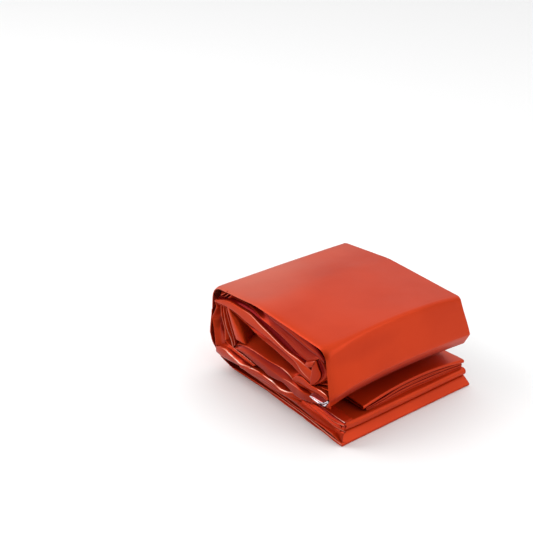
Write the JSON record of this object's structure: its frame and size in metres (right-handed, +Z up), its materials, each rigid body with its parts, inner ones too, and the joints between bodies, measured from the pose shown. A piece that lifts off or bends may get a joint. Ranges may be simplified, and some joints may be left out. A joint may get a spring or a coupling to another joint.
{
  "type": "folded emergency sleeping bag",
  "caption": "Thin film sleeping bag folded flat and wrapped into a palm-sized block, open folds at the front, rounded back, crumpled ends.",
  "frame": {"origin": "middle of the packet's outline, on the surface it rests on", "axes": "+Z up, through the packet's thickness; +X along the folds, towards the tidy end; +Y towards the rounded back, so the folds open towards -Y"},
  "size_m": [0.0965, 0.1012, 0.0553],
  "materials": {
    "orange_film": "glossy smooth orange polyester film with soft sheen",
    "metallised_film": "bright silver metallised inner face of the film"
  },
  "bodies": {
    "root": {"folded_bag": "orange_film", "metallised_corner": "metallised_film"}
  },
  "joints": []
}
